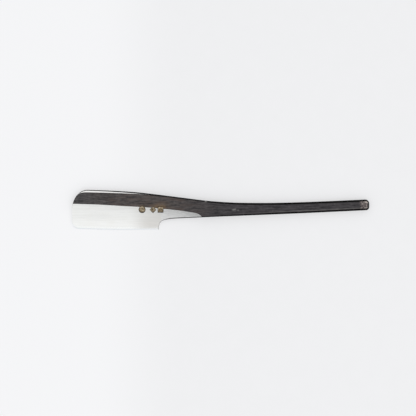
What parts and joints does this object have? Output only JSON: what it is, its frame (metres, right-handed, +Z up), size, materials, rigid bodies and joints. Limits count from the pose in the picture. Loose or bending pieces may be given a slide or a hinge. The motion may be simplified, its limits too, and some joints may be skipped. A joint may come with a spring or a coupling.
{
  "type": "skiving knife",
  "caption": "Razor-form leather skiving knife: wide hollow-ground blade running into a slim bare iron grip, forged flat as one bar.",
  "frame": {"origin": "centre of the footprint, on the flat back that the knife lies on", "axes": "+X from the nose of the blade to the butt of the grip, +Y from the cutting edge to the spine, +Z up through the ground face"},
  "size_m": [0.1574, 0.0213, 0.005],
  "materials": {
    "black_iron": "black forge scale, satin",
    "ground_steel": "ground and polished lengthwise",
    "brass_inlay": "aged, punched"
  },
  "bodies": {
    "root": {"iron_body": "black_iron", "steel_plate": "ground_steel", "round_inlay": "brass_inlay", "lozenge_inlay": "brass_inlay", "square_inlay": "brass_inlay"}
  },
  "joints": []
}
